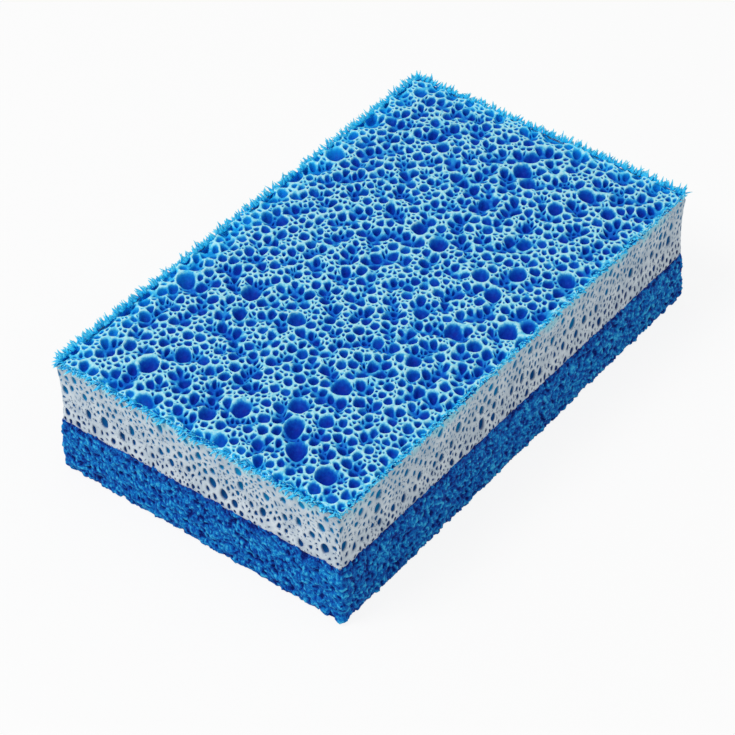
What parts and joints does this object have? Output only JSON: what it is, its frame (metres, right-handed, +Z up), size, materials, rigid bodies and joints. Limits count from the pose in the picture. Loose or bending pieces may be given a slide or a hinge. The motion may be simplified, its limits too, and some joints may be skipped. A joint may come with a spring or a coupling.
{
  "type": "sponge",
  "caption": "Rectangular laminated cleaning sponge: a thick dense foam base, a pale foam core and a coarse open-cell scrubbing layer on top.",
  "frame": {"origin": "middle of the flat underside", "axes": "+X along the length, +Y across the width, +Z up through the three layers, from the dense base to the scrubbing face"},
  "size_m": [0.121, 0.073, 0.0301],
  "materials": {
    "base_foam": "matt, open-pored and granular blue foam",
    "core_foam": "matt white foam with round holes that show blue inside",
    "net_foam": "coarse open-cell blue foam with pale strut tips"
  },
  "bodies": {
    "root": {"absorbent_base": "base_foam", "foam_core": "core_foam", "scrubbing_net": "net_foam"}
  },
  "joints": []
}
